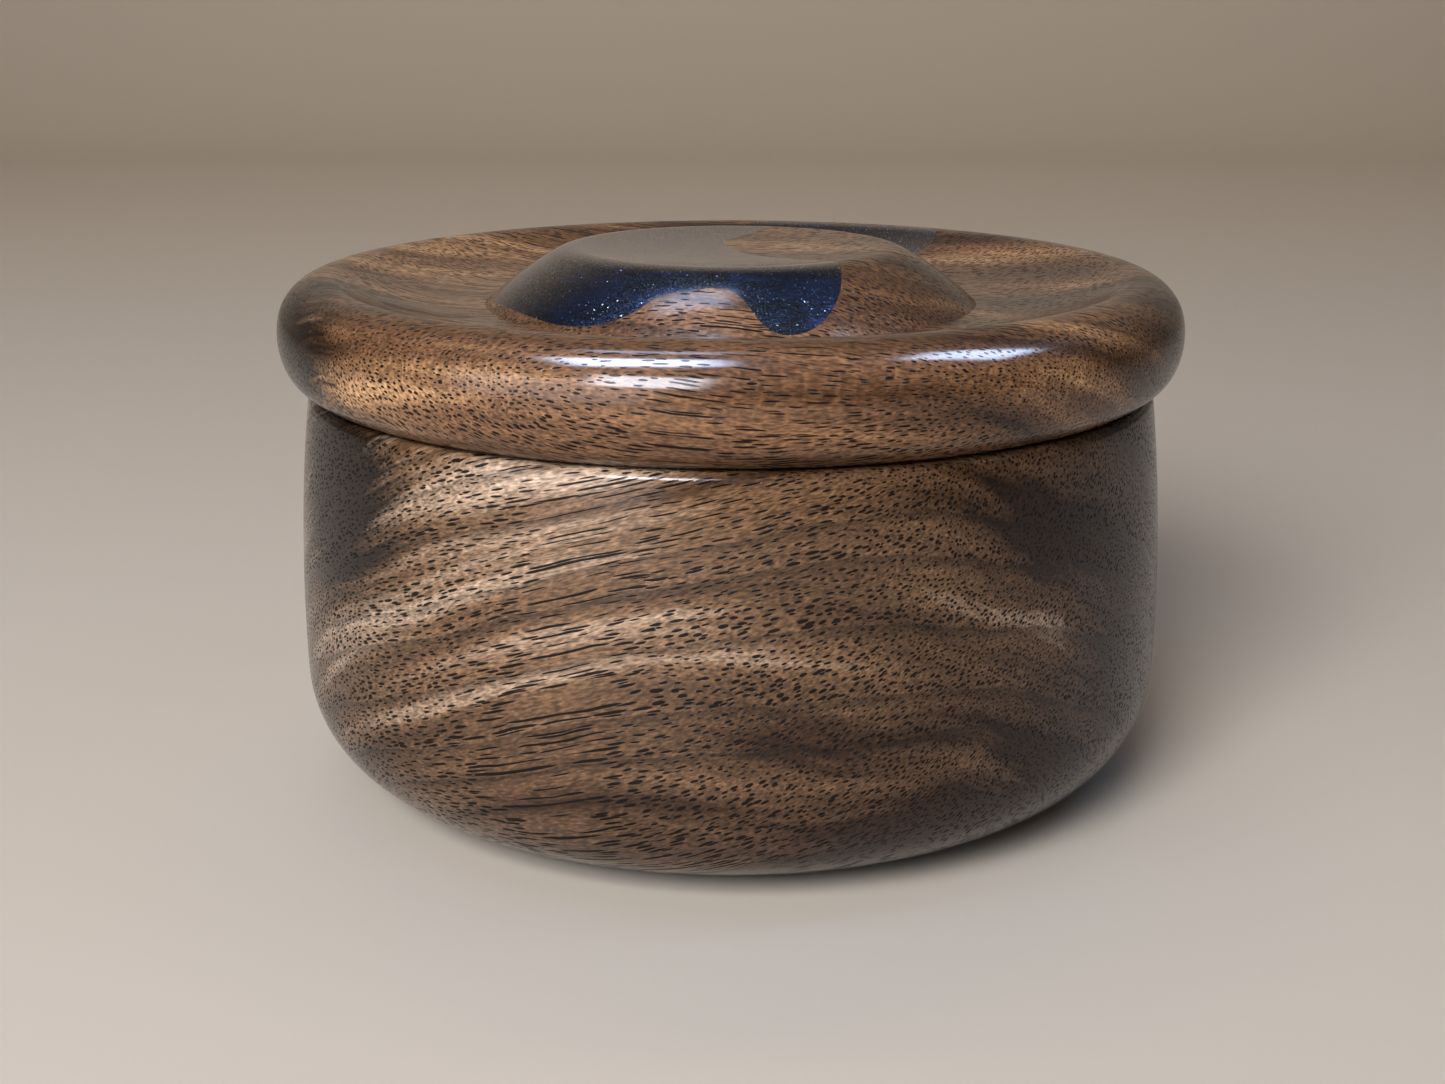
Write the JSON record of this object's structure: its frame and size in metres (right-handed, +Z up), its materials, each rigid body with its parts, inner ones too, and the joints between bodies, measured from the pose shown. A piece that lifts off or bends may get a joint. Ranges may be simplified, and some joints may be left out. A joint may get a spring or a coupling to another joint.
{
  "type": "shaving mug",
  "caption": "Round turned walnut shaving bowl holding a soap puck, with a lift-off lid that has a broad low knob and a cast resin inlay.",
  "frame": {"origin": "centre of the base, on the surface the bowl stands on", "axes": "+Z up along the turning axis; -Y is the front, where the blue inlay faces; +X is to the right seen from the front"},
  "size_m": [0.114, 0.114, 0.0686],
  "materials": {
    "walnut": "gloss clear lacquer on turned walnut",
    "walnut_lid": "gloss clear lacquer on turned walnut",
    "blue_resin": "polished cast epoxy with blue mica",
    "shaving_soap": "pressed soap, satin"
  },
  "bodies": {
    "mug": {"bowl": "walnut", "soap_puck": "shaving_soap"},
    "lid": {"lid": "walnut_lid", "resin_inlay": "blue_resin"}
  },
  "joints": [
    {"name": "lid_lift", "type": "slide", "parent": "mug", "child": "lid", "axis": [0, 0, 1], "range_m": [0, 0.06]}
  ]
}
